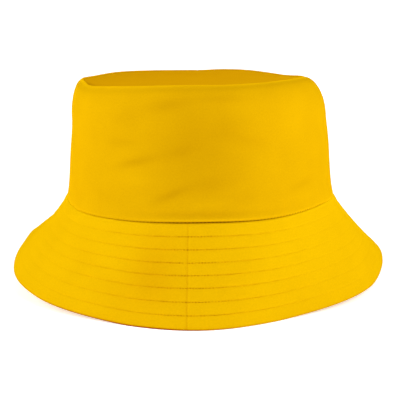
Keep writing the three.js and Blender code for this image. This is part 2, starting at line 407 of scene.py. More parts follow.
def section_value(table, column, degrees):
    """A column of a table at any angle, as a smooth curve through its rows that closes on itself."""
    at = np.mod(np.asarray(degrees, float), 360)
    count = len(table)
    angles = np.concatenate([table[:, 0] - 360, table[:, 0], table[:, 0] + 360])
    values = np.tile(table[:, column], 3)
    slopes = np.zeros(3 * count)
    slopes[1:-1] = (values[2:] - values[:-2]) / (angles[2:] - angles[:-2])
    i = np.searchsorted(table[:, 0], at, side="right") - 1 + count
    span = angles[i + 1] - angles[i]
    t = (at - angles[i]) / span
    return (
        (1 + 2 * t) * (1 - t) ** 2 * values[i]
        + t * (1 - t) ** 2 * span * slopes[i]
        + t * t * (3 - 2 * t) * values[i + 1]
        + t * t * (t - 1) * span * slopes[i + 1]
    )


head_half_width = HEAD_GIRTH / (2 * math.pi) / math.sqrt((1 + HEAD_OVAL**2) / 2)
layers_inside = 3 * CLOTH + 2 * SEAM_GAP
SEAM_HALF_WIDTH = head_half_width + layers_inside
SEAM_HALF_DEPTH = head_half_width * HEAD_OVAL + layers_inside

crown_low, crown_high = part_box("crown_side")
AXIS = ((crown_low + crown_high) / 2).to_2d() / MM


def hat_points(degrees, path):
    """Points of a path of (outward, height) at each angle, in millimetres round the hat's axis."""
    a = np.radians(degrees)
    across, along = np.sin(a), -np.cos(a)
    normal = np.stack([across / SEAM_HALF_WIDTH, along / SEAM_HALF_DEPTH], -1)
    normal /= np.linalg.norm(normal, axis=-1, keepdims=True)
    oval = np.stack([across * SEAM_HALF_WIDTH, along * SEAM_HALF_DEPTH], -1)
    flat = oval + normal * path[..., 0:1] + np.array(AXIS)
    return np.concatenate([flat, path[..., 1:2]], -1)


def seam_height(degrees):
    return BRIM_DROP * (1 + section_value(BRIM_SECTIONS, RISE, degrees))


def edge_height(degrees):
    """The edge lies on the floor where its lift is under 0, and comes off it in a soft curve."""
    lift = np.maximum(0, section_value(BRIM_SECTIONS, LIFT, degrees))
    return BRIM_DROP * np.where(lift < EDGE_EASE, lift**2 / (2 * EDGE_EASE), lift - EDGE_EASE / 2)


def ridge_height(degrees):
    return BRIM_DROP + CROWN_HEIGHT * (1 + section_value(RIDGE_SECTIONS, RIDGE_RISE, degrees))


def ridge_inset(degrees):
    return CROWN_TAPER + SHOULDER_INSET * section_value(RIDGE_SECTIONS, INSET, degrees)


def waves(degrees, start=0):
    """A smooth unevenness between about -1 and 1 round the hat."""
    a = np.radians(degrees)
    return sum(share * np.sin(count * a + phase + start * (1 + phase)) for count, share, phase in WAVES)


def bump(x, centre, width):
    """1 at the centre, fading smoothly to 0 over a few widths."""
    return np.exp(-(((x - centre) / width) ** 2))


def apart(degrees, centre):
    """Degrees from a centre, the short way round."""
    return np.mod(degrees - centre + 180, 360) - 180


def band(distance, values):
    """How strong a soft band is at a distance from its line. Its values are place, width and height or shade."""
    at, wide, high = values
    return high * bump(distance, at, wide)


def dotted_part(degrees):
    """Where the seam line breaks up into single stitches."""
    return bump(apart(degrees, DOTS_ANGLE), 0, DOTS_REACH)


def seam_shade(degrees):
    """How dark the seam line's painted shadow is: one line at the front, and single stitches towards the right,
    with painted light between them.
    """
    stitch = 0.5 + 0.5 * np.cos(np.radians(degrees) * SEAM_STITCHES)
    dotted = dotted_part(degrees)
    dots = BETWEEN_DOTS_SHADE + (DOT_SHADE - BETWEEN_DOTS_SHADE) * stitch**2
    return section_value(SEAM_SECTIONS, SHOW, degrees) * (1 - dotted + dotted * dots)


def beside(degrees):
    """1 at the hat's two sides, fading towards the front and back."""
    return np.sin(np.radians(degrees)) ** 4


def flare(degrees, distance):
    """How far the cloth flares out near the seam, at the sides of the hat."""
    return FLARE * beside(degrees) * bump(distance, 0, FLARE_HEIGHT)


def path_normal(path):
    """Unit normals of a path of (outward, height) points that runs up the first axis."""
    step = np.gradient(path, axis=0)
    normal = np.stack([step[..., 1], -step[..., 0]], -1)
    return normal / np.maximum(np.linalg.norm(normal, axis=-1, keepdims=True), 1e-9)


def offset_path(path, distance):
    return path + path_normal(path) * np.asarray(distance)[..., None]


def end_cap(first, second, steps=CAP_STEPS, bulge=1.0):
    """Half a circle, or a flatter curve, from the end of one face to the start of the next."""
    middle = (first + second) / 2
    reach = (first - second) / 2
    out = bulge * np.stack([reach[..., 1], -reach[..., 0]], -1)
    turn = np.linspace(0, math.pi, steps + 2)[1:-1]
    return np.stack([middle + reach * math.cos(t) - out * math.sin(t) for t in turn])


# Crown.
def wall_path(degrees, shares):
    """The crown's outer face from the seam, share 0, to the ridge, share 1."""
    a = degrees[None, :]
    share = shares[:, None]
    low, high = seam_height(a), ridge_height(a)
    bend = high - SHOULDER_HEIGHT
    inset = ridge_inset(a) - CROWN_TAPER
    rise = np.clip(share / WALL_SHARE, 0, 1)
    turn = np.clip((share - WALL_SHARE) / (1 - WALL_SHARE), 0, 1) * math.pi / 2
    outward = -CROWN_TAPER * rise - inset * (1 - np.cos(turn))
    height = low + (bend - low) * rise + SHOULDER_HEIGHT * np.sin(turn)
    return np.stack([outward, height], -1)


def dent_depth(degrees, up):
    """How deep the soft dents and creases press the crown's wall in."""
    total = np.zeros(np.broadcast(degrees, up).shape)
    for angle, at, depth, wide, tall in np.concatenate([DENTS, CREASES]):
        total += depth * bump(apart(degrees, angle), 0, wide) * bump(up, at, tall)
    return total * DENT_DEPTH


def painted_shade_patches(table, degrees, at):
    """The painted shade and painted light from a table, at each angle and share."""
    total = np.zeros(np.broadcast(degrees, at).shape)
    for angle, centre, shade, wide, tall, lean in table:
        round_hat = apart(degrees, angle)
        total += shade * bump(round_hat, 0, wide) * bump(at, centre + lean * round_hat, tall)
    return total


def dented_wall(degrees, shares):
    """The crown's outer face with its dents, and with its lower edge down in the gap at the sides."""
    path = wall_path(degrees, shares)
    a = degrees[None, :]
    plain_seam = 1 - section_value(SEAM_SECTIONS, SHOW, a)
    tucked_share = 0.1
    path[..., 1] -= SEAM_TUCK * plain_seam * np.clip(1 - shares[:, None] / tucked_share, 0, 1)
    low = seam_height(a) + COLLAR_HEIGHT
    along = np.clip((path[..., 1] - low) / (ridge_height(a) - low), 0, 1)
    hold = np.sin(math.pi * along) ** DENT_HOLD
    up = (path[..., 1] - seam_height(a)) / CROWN_HEIGHT
    path[..., 0] -= hold * dent_depth(a, up)
    return path


def path_length(path):
    """Distance along a path from its first point, at each of its points."""
    step = np.linalg.norm(np.diff(path, axis=0), axis=-1)
    return np.concatenate([np.zeros_like(step[:1]), np.cumsum(step, axis=0)])


def hem_front(degrees):
    """1 at the front, where the hem's fold shows most, fading round to the sides."""
    return bump(apart(degrees, HEM_ANGLE), 0, HEM_REACH)


def back_seam(degrees):
    return bump(apart(degrees, 180), 0, BACK_SEAM_WIDTH)


def crown_relief(degrees, up):
    """How far the crown's cloth stands proud of its plain face, from the distance up the wall."""
    a = degrees[None, :]
    down = up[-1:] - up
    front = hem_front(a)
    proud = (HEM_FOLD_ELSEWHERE + (1 - HEM_FOLD_ELSEWHERE) * front) * band(up, HEM_FOLD)
    proud += flare(a, up)
    proud += seam_shade(a) * band(up, SEAM_SINK)
    proud += front * (1 + HEM_DIP_UNEVEN * waves(a)) * band(up, HEM_DIP)
    proud += waves(a, 1) * band(up, HEM_SWELL)
    proud += band(down, RIDGE_LIP) + (1 + waves(a, 3)) * band(down, RIDGE_DIP)
    proud += waves(a, 2) * band(down, RIDGE_SWELL)
    return proud - BACK_SEAM_DEPTH * back_seam(a)


def crown_shade(degrees, path, up):
    """How much painted shade, or below 0 painted light, each spot of the crown's outer face has."""
    a = degrees[None, :]
    down = up[-1:] - up
    front = hem_front(a)
    dotted = dotted_part(a)
    line_width = SEAM_LINE_WIDTH + (DOT_WIDTH - SEAM_LINE_WIDTH) * dotted
    shade = SEAM_LINE_SHADE * seam_shade(a) * bump(up, 0, line_width)
    shade += front * (band(up, HEM_FOLD_SHADE) + band(up, HEM_DIP_SHADE))
    shade += band(down, RIDGE_DIP_SHADE) + band(down, RIDGE_LIP_SHADE)
    shade += beside(a) * (band(up, SIDE_SHADE) + band(up, SIDE_WALL_SHADE))
    shade += dotted * band(up, WALL_AT_DOTS_SHADE)
    shade += BACK_SEAM_SHADE * back_seam(a)
    return shade + painted_shade_patches(CROWN_PAINTED_SHADE, a, (path[..., 1] - seam_height(a)) / CROWN_HEIGHT)


def crown_rows():
    """Shares up the wall where the outer face has rows, closer at the hem and the ridge."""
    hem = np.linspace(0.002, 0.1, 24)
    middle = np.linspace(0.115, 0.93, 48)
    ridge = np.linspace(0.94, 0.9995, 19)
    return np.concatenate([hem, middle, ridge])


def crown_side_faces():
    """The crown's wall: outer face, ridge, inner face and lower edge, as rows round the hat."""
    degrees = np.arange(CROWN_ANGLES) * 360 / CROWN_ANGLES
    outer = dented_wall(degrees, crown_rows())
    up = path_length(outer)
    outer_shown = offset_path(outer, crown_relief(degrees, up))
    inner = offset_path(dented_wall(degrees, np.linspace(0.003, 0.9995, 26)), -CLOTH)[::-1]
    rows = np.concatenate([
        outer_shown,
        end_cap(outer_shown[-1], inner[0]),
        inner,
        end_cap(inner[-1], outer_shown[0], bulge=HEM_ROUNDNESS),
    ])
    shades = np.zeros(rows.shape[:2])
    shades[: len(outer)] = crown_shade(degrees, outer, up)
    shades[-CAP_STEPS:] = SEAM_FOLD_SHADE * seam_shade(degrees) + SIDE_FOLD_SHADE * beside(degrees)
    return degrees, rows, shades


# Brim.
def slope_path(degrees, shares):
    """The brim's top face from the seam, share 0, to the edge, share 1."""
    a = degrees[None, :]
    t = shares[:, None]
    start = np.stack(np.broadcast_arrays(0 * a, seam_height(a) - SEAM_GAP), -1)
    spread = BRIM_SPREAD * section_value(BRIM_SECTIONS, SPREAD, a)
    end = np.stack(np.broadcast_arrays(spread, edge_height(a)), -1)
    path = start + (end - start) * t[..., None]
    sag = BRIM_SPREAD * section_value(BRIM_SECTIONS, HOLLOW, a) * 4 * t * (1 - t)
    path[..., 0] -= sag
    return path


def near_join(degrees):
    """1 a little to the right of the brim's join, where painted shade shows in the needle holes, fading both
    ways.
    """
    return bump(apart(degrees, HOLES_ANGLE), 0, HOLE_REACH)


def hole_shade(degrees, off, from_join, row):
    """How dark the painted shade in the needle holes of a stitch row is, at a distance from the row and from the
    join.
    """
    turn = 2 * math.pi * from_join
    holes = np.clip(np.sin(turn / HOLE_PITCH + HOLE_SHIFT * row), 0, 1)
    uneven = 1 - HOLE_UNEVEN + HOLE_UNEVEN * np.sin(turn / UNEVEN_PITCH + UNEVEN_SHIFT * row)
    return HOLE_SHADE * near_join(degrees) * holes * uneven * bump(off, 0, HOLE_WIDTH)


def brim_details(degrees, path, shares, strength=1.0):
    """How far the brim's cloth stands proud between its stitch rows, and how much painted shade or light each
    spot has.
    """
    a = degrees[None, :]
    share = shares[:, None]
    length = path_length(path)
    nearest = np.abs(share - ROWS[None, :]).argmin(1)[:, None]
    off = (share - ROWS[nearest]) * length[-1:] / shares[-1]
    at = np.interp(shares, np.append(0, ROWS), np.arange(len(ROWS) + 1))[:, None]
    show = section_value(ROW_SECTIONS, SHOW, a)
    quilt = QUILT_RISE * np.abs(np.sin(math.pi * at)) ** QUILT_ROUNDNESS
    uneven = 1 + GROOVE_UNEVEN * waves(a + GROOVE_SHIFT * nearest, 1)
    stitched = show * bump(off, 0, GROOVE_WIDTH) * uneven
    pucker = ROW_PUCKER * show * waves(a + ROW_PUCKER_SHIFT * nearest) * bump(off, 0, ROW_PUCKER_WIDTH)
    from_join = np.radians(apart(a, JOIN_ANGLE)) * (SEAM_HALF_DEPTH + path[..., 0])
    join = bump(from_join, 0, JOIN_WIDTH / 2)
    proud = strength * (quilt - GROOVE_DEPTH * stitched + flare(a, length) + pucker) - JOIN_DEPTH * join
    shade = strength * GROOVE_SHADE * stitched + hole_shade(a, off, from_join, nearest)
    shade += (JOIN_SHADE + (JOIN_SHADE_AT_EDGE - JOIN_SHADE) * share) * join
    shade += band(from_join, BESIDE_JOIN_SHADE)
    shade += painted_shade_patches(BRIM_PAINTED_SHADE, a, share)
    shade += beside(a) * band(length, SIDE_BRIM_SHADE) + dotted_part(a) * band(length, BRIM_AT_DOTS_SHADE)
    shade += section_value(EDGE_SECTIONS, SHOW, a) * bump(length[-1:] - length, 0, EDGE_SHADE_WIDTH)
    return proud, shade


def row_shares(fine=True):
    """Shares down the brim where a face has rows, close together at each stitch row."""
    away = [0.003, 0.008, 0.014, 0.024] if fine else [0.006, 0.018]
    around = np.array([-step for step in reversed(away)] + away)
    shares = [0.008, 0.02, 0.04, 0.07]
    for row, following in zip(ROWS, ROWS[1:]):
        shares += list(row + around)
        shares.append((row + following) / 2)
    last = ROWS[-1]
    shares += list(last + around)
    shares += list(last + (1 - last) * np.array([0.35, 0.6, 0.8, 0.9, 0.96, 0.99, 0.998]))
    return np.array(shares)


def collar_path(degrees, inward, steps=8):
    """The brim's collar inside the crown, from its top to the seam, at a distance inside its outer face."""
    a = degrees[None, :]
    seam = seam_height(a)
    lean = CROWN_TAPER / (ridge_height(a) - SHOULDER_HEIGHT - seam)
    base = -CLOTH - SEAM_GAP - inward
    t = np.linspace(1, 0, steps)[:, None]
    outward = base - lean * COLLAR_HEIGHT * t
    height = seam - SEAM_GAP - inward + (COLLAR_HEIGHT + SEAM_GAP + inward) * t
    return np.stack(np.broadcast_arrays(outward, height), -1)


def settle(path):
    """Presses cloth that would reach below the floor onto it."""
    path[..., 1] = np.maximum(path[..., 1], LEAST_HEIGHT)
    return path


def brim_degrees(count):
    """Angles round the brim, closer together near its join."""
    even = np.arange(count) * 360 / count
    plain = even[np.abs(apart(even, JOIN_ANGLE)) > CLOSE_REACH + CLOSE_STEP]
    close = np.mod(JOIN_ANGLE + np.arange(-CLOSE_REACH, CLOSE_REACH + CLOSE_STEP, CLOSE_STEP), 360)
    return np.sort(np.concatenate([plain, close]))


def brim_top_faces():
    """The brim's outer cloth: collar, top face, edge, lower face and collar again, as rows round the hat."""
    degrees = brim_degrees(BRIM_ANGLES)
    shares = row_shares()
    slope = slope_path(degrees, shares)
    proud, shade = brim_details(degrees, slope, shares)
    top = slope + slope_normal(slope) * proud[..., None]
    lower = slope_path(degrees, np.array([0.99, 0.8, 0.6, 0.4, 0.2, 0.05]))
    lower = lower - slope_normal(lower) * CLOTH
    collar_out = collar_path(degrees, 0)
    collar_in = collar_path(degrees, CLOTH)[::-1]
    rows = np.concatenate([
        collar_out,
        top,
        end_cap(top[-1], lower[0], EDGE_STEPS),
        lower,
        collar_in,
    ])
    shades = np.zeros(rows.shape[:2])
    start = len(collar_out)
    end = start + len(top)
    shades[:start] = seam_shade(degrees) + SIDE_FOLD_SHADE * beside(degrees)
    shades[start:end] = shade
    shades[end : end + EDGE_STEPS] = section_value(EDGE_SECTIONS, SHOW, degrees)
    return degrees, settle(rows), shades


def slope_normal(path):
    """Unit normals of the brim's slope, pointing up and out."""
    step = np.gradient(path, axis=0)
    normal = np.stack([-step[..., 1], step[..., 0]], -1)
    normal = normal * np.sign(normal[..., 1:2] + 1e-12)
    return normal / np.linalg.norm(normal, axis=-1, keepdims=True)


def brim_under_faces():
    """The brim's under cloth, as rows round the hat in the same order."""
    degrees = brim_degrees(UNDER_ANGLES)
    shares = row_shares(fine=False)
    slope = slope_path(degrees, shares)
    proud, shade = brim_details(degrees, slope, shares, strength=UNDER_STRENGTH)
    depth = 2 * CLOTH + SEAM_GAP
    under = slope - slope_normal(slope) * (depth + proud)[..., None]
    upper = slope_path(degrees, np.array([0.05, 0.2, 0.4, 0.6, 0.8, 0.99]))
    upper = upper - slope_normal(upper) * (CLOTH + SEAM_GAP)
    collar_out = collar_path(degrees, CLOTH + SEAM_GAP)
    collar_in = collar_path(degrees, depth)[::-1]
    rows = np.concatenate([
        collar_out,
        upper,
        end_cap(upper[-1], under[-1], EDGE_STEPS),
        under[::-1],
        collar_in,
        end_cap(collar_in[-1], collar_out[0], 3),
    ])
    shades = np.zeros(rows.shape[:2])
    start = len(collar_out) + len(upper) + EDGE_STEPS
    shades[start : start + len(shade)] = shade[::-1]
    return degrees, settle(rows), shades


# Top panel.
def tip_rows(degrees, shares, depth):
    """Rows of the top panel from its middle, share 0, to its rim, share 1, at a depth below its face."""
    a = degrees[None, :]
    t = shares[:, None]
    rim_out = -ridge_inset(a) - CLOTH - RIM_GAP
    rim_path = np.stack(np.broadcast_arrays(rim_out, ridge_height(a) - RIM_SINK), -1)
    rim = hat_points(a, rim_path)
    middle = np.array([AXIS[0], AXIS[1], BRIM_DROP + CROWN_HEIGHT - TIP_SINK])
    points = middle + (rim - middle) * t[..., None]
    points[..., 2] = middle[2] + (rim[..., 2] - middle[2]) * t**TIP_FLATNESS - depth
    return points


def rim_cap(top, under, steps=CAP_STEPS):
    """Half circles that round the top panel's rim between its two faces."""
    middle = (top[-1] + under[0]) / 2
    reach = (top[-1] - under[0]) / 2
    out = top[-1] - top[-2]
    out[..., 2] = 0
    out *= np.linalg.norm(reach, axis=-1, keepdims=True) / np.linalg.norm(out, axis=-1, keepdims=True)
    turn = np.linspace(0, math.pi, steps + 2)[1:-1]
    return np.stack([middle + reach * math.cos(t) + out * math.sin(t) for t in turn])


# Meshes.
def new_object(name, vertices, faces, uvs, shades, material):
    """A mesh object in metres, with a UV per face corner and a painted shade per vertex."""
    mesh = bpy.data.meshes.new(name)
    mesh.from_pydata((vertices * MM).tolist(), [], faces)
    layer = mesh.uv_layers.new(name="cloth")
    layer.data.foreach_set("uv", np.asarray(uvs, np.float32).ravel())
    attribute = mesh.attributes.new("shade", "FLOAT", "POINT")
    attribute.data.foreach_set("value", np.asarray(shades, np.float32).ravel())
    mesh.materials.append(material)
    mesh.polygons.foreach_set("use_smooth", [True] * len(mesh.polygons))
    mesh.update()
    made = bpy.data.objects.new(name, mesh)
    bpy.context.scene.collection.objects.link(made)
    return made


def signed_volume(vertices, faces):
    """Above 0 where four-cornered faces turn outwards."""
    a, b, c, d = (vertices[faces[:, k]] for k in range(4))
    return (np.einsum("ij,ij->i", a, np.cross(b, c)) + np.einsum("ij,ij->i", a, np.cross(c, d))).sum()


def ring_object(name, degrees, rows, shades, material):
    """A tube of cloth: a closed section at each angle, all the way round the hat."""
    points = hat_points(np.broadcast_to(degrees, rows.shape[:2]), rows)
    row_count, angle_count = rows.shape[:2]
    vertices = points.reshape(-1, 3)
    r, n = np.meshgrid(np.arange(row_count), np.arange(angle_count), indexing="ij")
    here, above = r * angle_count, (r + 1) % row_count * angle_count
    n2 = (n + 1) % angle_count
    faces = np.stack([here + n, here + n2, above + n2, above + n], -1).reshape(-1, 4)
    down = path_length(points).mean(1)
    down = np.append(down, down[-1] + 1)
    round_hat = np.radians(np.append(degrees, degrees[0] + 360)) * SEAM_HALF_WIDTH
    corner_u = np.stack([round_hat[n], round_hat[n + 1], round_hat[n + 1], round_hat[n]], -1)
    corner_v = np.stack([down[r], down[r], down[r + 1], down[r + 1]], -1)
    uvs = np.stack([corner_u, corner_v], -1).reshape(-1, 4, 2)
    if signed_volume(vertices - vertices.mean(0), faces) < 0:
        faces, uvs = faces[:, ::-1], uvs[:, ::-1]
    return new_object(name, vertices, faces.tolist(), uvs, shades, material)


def tip_faces(row_count):
    """Faces of a closed disc: rings of four corners, and a fan at each end to one of two last points."""
    ring = [(i, (i + 1) % TIP_ANGLES) for i in range(TIP_ANGLES)]
    faces = []
    for row in range(row_count - 1):
        here, beyond = row * TIP_ANGLES, (row + 1) * TIP_ANGLES
        faces += [[beyond + i, beyond + j, here + j, here + i] for i, j in ring]
    last_row = (row_count - 1) * TIP_ANGLES
    top_point = row_count * TIP_ANGLES
    under_point = top_point + 1
    faces += [[i, j, top_point] for i, j in ring]
    faces += [[last_row + j, last_row + i, under_point] for i, j in ring]
    return faces


def tip_object(name, material):
    """The crown's top panel, a closed disc with soft puckers near its rim, painted shade at its rim and pucker,
    and painted light towards its right.
    """
    degrees = np.arange(TIP_ANGLES) * 360 / TIP_ANGLES
    a = degrees[None, :]
    shares = np.concatenate([np.linspace(0.03, 0.9, 30), np.linspace(0.915, 1, 16)])
    top = tip_rows(degrees, shares, 0)
    from_rim = np.linalg.norm(top[-1] - top[0], axis=-1).mean() * (1 - shares[:, None])
    pucker = bump(apart(a, PUCKER_ANGLE), 0, PUCKER_WIDTH)
    top[..., 2] += waves(a, 3) * band(from_rim, TIP_RIPPLE) + pucker * band(from_rim, PUCKER_RELIEF)
    under = tip_rows(degrees, np.linspace(1, 0.05, 12), CLOTH)
    rows = np.concatenate([top, rim_cap(top, under), under])
    to_right = np.clip((top[..., 0] - AXIS[0]) / SEAM_HALF_WIDTH, -0.2, 1)
    shades = np.zeros(rows.shape[:2])
    shades[: len(top)] = band(from_rim, TIP_RIM_SHADE) + pucker * band(from_rim, PUCKER_SHADE)
    shades[: len(top)] -= TIP_LIGHTER_AT_RIGHT * to_right
    shades[len(top) : len(top) + CAP_STEPS] = RIM_SHADE
    vertices = np.concatenate([rows.reshape(-1, 3), rows[0].mean(0)[None], rows[-1].mean(0)[None]])
    faces = tip_faces(len(rows))
    uvs = vertices[[corner for face in faces for corner in face]][:, :2]
    shades = np.concatenate([shades.ravel(), [0, 0]])
    return new_object(name, vertices, faces, uvs, shades, material)


def stitch_faces(steps):
    """Triangles of one stitch: a tube of THREAD_SIDES, and a fan at each end to one of two last points."""
    ring = [(k, (k + 1) % THREAD_SIDES) for k in range(THREAD_SIDES)]
    last_ring = (steps - 3) * THREAD_SIDES
    first_point = (steps - 2) * THREAD_SIDES
    last_point = first_point + 1
    faces = []
    for here in range(0, last_ring, THREAD_SIDES):
        beyond = here + THREAD_SIDES
        for k, k2 in ring:
            faces.append([here + k, here + k2, beyond + k2])
            faces.append([here + k, beyond + k2, beyond + k])
    for k, k2 in ring:
        faces.append([first_point, k2, k])
        faces.append([last_point, last_ring + k, last_ring + k2])
    return np.array(faces)


def thread_object(name, centres, normals, shades, radius, material):
    """Many stitches in one mesh: each a short closed thread through its row of centres."""
    count, steps = centres.shape[:2]
    along = np.gradient(centres, axis=1)
    along /= np.linalg.norm(along, axis=-1, keepdims=True)
    side = np.cross(along, normals)
    side /= np.linalg.norm(side, axis=-1, keepdims=True)
    up = np.cross(side, along)
    turn = np.arange(THREAD_SIDES) * 2 * math.pi / THREAD_SIDES
    ring = (
        centres[:, 1:-1, None, :]
        + radius * np.cos(turn)[None, None, :, None] * side[:, 1:-1, None, :]
        + radius * np.sin(turn)[None, None, :, None] * up[:, 1:-1, None, :]
    )
    vertices = np.concatenate([ring.reshape(count, -1, 3), centres[:, :1], centres[:, -1:]], 1)
    one = stitch_faces(steps)
    faces = (one[None] + vertices.shape[1] * np.arange(count)[:, None, None]).reshape(-1, 3)
    vertices = vertices.reshape(-1, 3)
    triangles = vertices[faces[: len(one)]] - vertices[0]
    volume = np.einsum("ij,ij->i", triangles[:, 0], np.cross(triangles[:, 1], triangles[:, 2])).sum()
    if volume < 0:
        faces = faces[:, ::-1]
    uvs = vertices[faces.ravel()][:, :2]
    ring_shades = np.repeat(shades[:, 1:-1], THREAD_SIDES, axis=1)
    shades = np.concatenate([ring_shades, shades[:, :1], shades[:, -1:]], 1)
    return new_object(name, vertices, faces.tolist(), uvs, shades.ravel(), material)


def joined_threads(name, rows, radius, material):
    """One thread piece from the stitches of several rows."""
    centres, normals, shades = (np.concatenate(part) for part in zip(*rows))
    return thread_object(name, centres, normals, shades, radius, material)


def row_length(surface):
    """Millimetres round the hat along a row."""
    points, _ = surface(np.arange(720) * 0.5)
    return np.linalg.norm(points - np.roll(points, 1, axis=0), axis=-1).sum()


def stitches_on(surface, count, lift, radius, shade_of, length_share):
    """Centres, normals and shades of the stitches along a row.

    surface gives points and outward normals at any degrees, and shade_of gives shades."""
    steps = 6
    share = np.linspace(-0.5, 0.5, steps) * length_share
    degrees = (np.arange(count)[:, None] + share[None, :]) * 360 / count
    points, normals = surface(degrees.ravel())
    points = points.reshape(count, steps, 3)
    normals = normals.reshape(count, steps, 3)
    arch = lift - STITCH_DROP * radius * np.abs(2 * share / length_share) ** 4
    shades = shade_of(degrees.reshape(count, steps))
    return points + normals * arch[None, :, None], normals, shades


def row_stitches(surface):
    """The stitches of one brim row, with a little painted shade near the join."""
    def darker(degrees):
        return STITCH_SHADE_AT_JOIN * near_join(degrees)

    count = round(row_length(surface) / STITCH_PITCH)
    return stitches_on(surface, count, STITCH_LIFT, THREAD_RADIUS, darker, STITCH_LENGTH)


def brim_row_surface(row, under=False):
    """Points and normals along one stitch row of the brim, on its top face or its underside."""
    def surface(degrees):
        shares = row + np.array([-0.01, 0, 0.01])
        path = slope_path(degrees, shares)
        normal = slope_normal(path)[1]
        if under:
            place = path[1] - normal * (2 * CLOTH + SEAM_GAP - 0.8 * GROOVE_DEPTH)
            normal = -normal
        else:
            place = path[1] - normal * GROOVE_DEPTH
        place = settle(place)
        points = hat_points(degrees, place)
        out = hat_points(degrees, place + normal) - points
        return points, out / np.linalg.norm(out, axis=-1, keepdims=True)

    return surface


def crown_seam_surface(degrees):
    """Points and normals along the row of stitches just above the crown's seam."""
    shares = (SEAM_STITCH_HEIGHT + np.array([-1, 0, 1])) / WALL_LENGTH
    path = dented_wall(degrees, shares)
    normal = path_normal(path)[1]
    place = path[1] - normal * SEAM_STITCH_SINK
    points = hat_points(degrees, place)
    out = hat_points(degrees, place + normal) - points
    return points, out / np.linalg.norm(out, axis=-1, keepdims=True)


# Materials.
def feed(tree, socket, value):
    """Links another node's output to a socket, or gives it a plain value."""
    if isinstance(value, bpy.types.NodeSocket):
        tree.links.new(value, socket)
    else:
        socket.default_value = value


def node(tree, kind, **inputs):
    """A node of a kind, with inputs by name, where _ stands for a space."""
    made = tree.nodes.new("ShaderNode" + kind)
    for name, value in inputs.items():
        feed(tree, made.inputs[name.replace("_", " ")], value)
    return made


def math_node(tree, operation, *values):
    made = tree.nodes.new("ShaderNodeMath")
    made.operation = operation
    for socket, value in zip(made.inputs, values):
        feed(tree, socket, value)
    return made


def colour_mix(tree, share, first, second, clamp=True):
    """A blend of two colours, past the second one if clamp is off."""
    made = tree.nodes.new("ShaderNodeMix")
    made.data_type = "RGBA"
    made.clamp_factor = clamp
    feed(tree, made.inputs[0], share)
    feed(tree, made.inputs[6], first)
    feed(tree, made.inputs[7], second)
    return made.outputs[2]


def scaled(colour, red, green, blue=1):
    return (min(1, colour[0] * red), colour[1] * green, colour[2] * blue, 1)


def matt_material(name, roughness):
    """A material without any shine, its node tree and its shader."""
    made = bpy.data.materials.new(name)
    made.use_nodes = True
    shader = made.node_tree.nodes["Principled BSDF"]
    shader.inputs["Roughness"].default_value = roughness
    shader.inputs["Specular IOR Level"].default_value = 0
    return made, made.node_tree, shader


def painted_shade(tree):
    made = tree.nodes.new("ShaderNodeAttribute")
    made.attribute_name = "shade"
    return made.outputs["Fac"]


def cloth_colour(tree, place, colour, warmth):
    """Slow colour drift and fine grain, turned warmer by light painted shade and brown by strong painted shade.
    """
    drift = node(tree, "TexNoise", Vector=place, Scale=0.045, Detail=3)
    grain = node(tree, "TexNoise", Vector=place, Scale=0.9, Detail=2)
    tone = math_node(tree, "MULTIPLY_ADD", drift.outputs["Fac"], 0.5, grain.outputs["Fac"])
    plain = colour_mix(tree, tone.outputs[0], scaled(colour, 0.9, 0.87), scaled(colour, 1.06, 1.08))
    dark = math_node(tree, "MULTIPLY", painted_shade(tree), 0.4)
    warm = colour_mix(tree, dark.outputs[0], plain, scaled(colour, warmth, 0.12, 0), clamp=False)
    deep = math_node(tree, "MAXIMUM", dark.outputs[0], 0)
    line = math_node(tree, "POWER", deep.outputs[0], 2)
    line.use_clamp = True
    return colour_mix(tree, line.outputs[0], warm, scaled(colour, 0.34, 0.04, 0))


def weave_relief(tree, place):
    """The fine diagonal ribs of twill."""
    weave = node(tree, "TexWave", Vector=place, Scale=0.45, Distortion=1.2, Detail=1)
    weave.wave_type = "BANDS"
    weave.bands_direction = "DIAGONAL"
    relief = node(tree, "Bump", Strength=0.12, Distance=0.00012, Height=weave.outputs["Fac"])
    return relief.outputs["Normal"]


def cloth_material(name, colour, warmth):
    """Waxed cotton twill. warmth is the share of red left in the tint of a shaded spot."""
    made, tree, shader = matt_material(name, 0.82)
    shader.inputs["Sheen Weight"].default_value = 0.08
    shader.inputs["Sheen Roughness"].default_value = 0.5
    shader.inputs["Sheen Tint"].default_value = (1.0, 0.62, 0.0, 1)
    uv_map = node(tree, "UVMap")
    uv_map.uv_map = "cloth"
    place = uv_map.outputs["UV"]
    tree.links.new(cloth_colour(tree, place, colour, warmth), shader.inputs["Base Color"])
    tree.links.new(weave_relief(tree, place), shader.inputs["Normal"])
    return made


def thread_material(name, colour):
    """Matt thread, turned dark brown by the mesh's painted shade, as in a needle hole or the seam's crease."""
    made, tree, shader = matt_material(name, 0.8)
    mixed = colour_mix(tree, painted_shade(tree), (*colour, 1), (*SEAM_AND_HOLE_SHADE_COLOUR, 1))
    tree.links.new(mixed, shader.inputs["Base Color"])
    return made


# Pieces of the hat.
# One yellow cloth: the brim's copy is lighter with painted light, and the top panel's darker with painted shade,
# for how the lamps fall on them.
CROWN_COLOUR = (0.628, 0.338, 0.0008)
BRIM_LIT_COLOUR = (0.7, 0.399, 0.0008)
TIP_SHADED_COLOUR = (0.572, 0.27, 0.0008)
THREAD_COLOUR = (0.66, 0.34, 0.0008)
# The dark brown of painted shade in needle holes and in the seam's crease.
SEAM_AND_HOLE_SHADE_COLOUR = (0.16, 0.055, 0.002)

